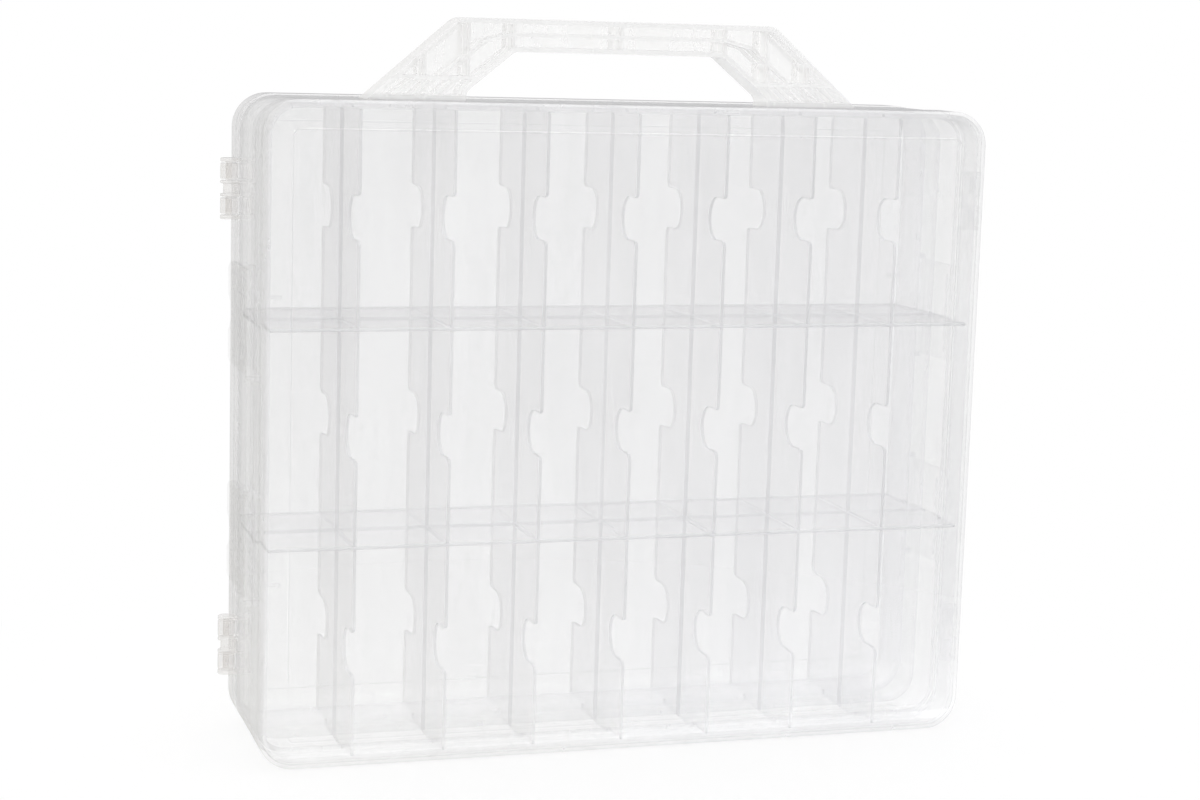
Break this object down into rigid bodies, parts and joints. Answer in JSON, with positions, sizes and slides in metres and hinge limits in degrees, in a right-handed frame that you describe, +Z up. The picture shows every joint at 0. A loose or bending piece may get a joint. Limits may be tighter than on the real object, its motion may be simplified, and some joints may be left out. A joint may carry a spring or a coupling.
{
  "type": "thread and bobbin case",
  "caption": "Clear double-sided case for thread and bobbins, with a rim lid and two side latches on each face, divided compartments and a carry handle on top.",
  "frame": {"origin": "centre of the underside of the core, on the surface that the case stands on", "axes": "+X across the width to the right as seen from the front lid, +Y from the front lid to the rear lid, +Z up to the handle"},
  "size_m": [0.336, 0.084, 0.315],
  "materials": {
    "clear_core": "clear polypropylene, glossy, faintly milky",
    "clear_lid": "clear polypropylene, glossy",
    "clear_handle": "frosted polypropylene, satin",
    "clear_hinge": "clear polypropylene, thicker and greyer",
    "clear_latch": "clear polypropylene, ribbed"
  },
  "bodies": {
    "core": {"core_belt": "clear_core", "front_rim": "clear_core", "rear_rim": "clear_core", "centre_floor": "clear_core", "front_latch_catches": "clear_core", "front_shelf_lower": "clear_core", "front_shelf_upper": "clear_core", "front_divider_1": "clear_core", "front_divider_2": "clear_core", "front_divider_3": "clear_core", "front_divider_4": "clear_core", "front_divider_5": "clear_core", "front_divider_6": "clear_core", "front_divider_7": "clear_core", "front_hinge_bracket_lower": "clear_hinge", "front_hinge_bracket_upper": "clear_hinge", "rear_latch_catches": "clear_core", "rear_shelf_lower": "clear_core", "rear_shelf_upper": "clear_core", "rear_divider_1": "clear_core", "rear_divider_2": "clear_core", "rear_divider_3": "clear_core", "rear_divider_4": "clear_core", "rear_divider_5": "clear_core", "rear_divider_6": "clear_core", "rear_divider_7": "clear_core", "rear_hinge_bracket_lower": "clear_hinge", "rear_hinge_bracket_upper": "clear_hinge", "handle_left_leg": "clear_handle", "handle_grip": "clear_handle", "handle_right_leg": "clear_handle"},
    "front_lid": {"front_lid_panel": "clear_lid", "front_lid_wall": "clear_lid", "front_lid_side_ribs": "clear_lid", "front_lid_knuckles": "clear_hinge", "front_lid_latch_ears": "clear_hinge"},
    "rear_lid": {"rear_lid_panel": "clear_lid", "rear_lid_wall": "clear_lid", "rear_lid_side_ribs": "clear_lid", "rear_lid_knuckles": "clear_hinge", "rear_lid_latch_ears": "clear_hinge"},
    "front_latch_lower": {"front_latch_lower": "clear_latch"},
    "front_latch_upper": {"front_latch_upper": "clear_latch"},
    "rear_latch_lower": {"rear_latch_lower": "clear_latch"},
    "rear_latch_upper": {"rear_latch_upper": "clear_latch"}
  },
  "joints": [
    {"name": "front_lid_hinge", "type": "hinge", "parent": "core", "child": "front_lid", "pos_m": [0.1644, -0.02115, 0.14], "axis": [0, 0, 1], "range_deg": [0, 180]},
    {"name": "rear_lid_hinge", "type": "hinge", "parent": "core", "child": "rear_lid", "pos_m": [-0.1644, 0.02115, 0.14], "axis": [0, 0, 1], "range_deg": [0, 180]},
    {"name": "front_latch_lower_pivot", "type": "hinge", "parent": "front_lid", "child": "front_latch_lower", "pos_m": [-0.1627, -0.0242, 0.0925], "axis": [0, 0, 1], "range_deg": [0, 110]},
    {"name": "front_latch_upper_pivot", "type": "hinge", "parent": "front_lid", "child": "front_latch_upper", "pos_m": [-0.1627, -0.0242, 0.1875], "axis": [0, 0, 1], "range_deg": [0, 110]},
    {"name": "rear_latch_lower_pivot", "type": "hinge", "parent": "rear_lid", "child": "rear_latch_lower", "pos_m": [0.1627, 0.0242, 0.0925], "axis": [0, 0, 1], "range_deg": [0, 110]},
    {"name": "rear_latch_upper_pivot", "type": "hinge", "parent": "rear_lid", "child": "rear_latch_upper", "pos_m": [0.1627, 0.0242, 0.1875], "axis": [0, 0, 1], "range_deg": [0, 110]}
  ]
}
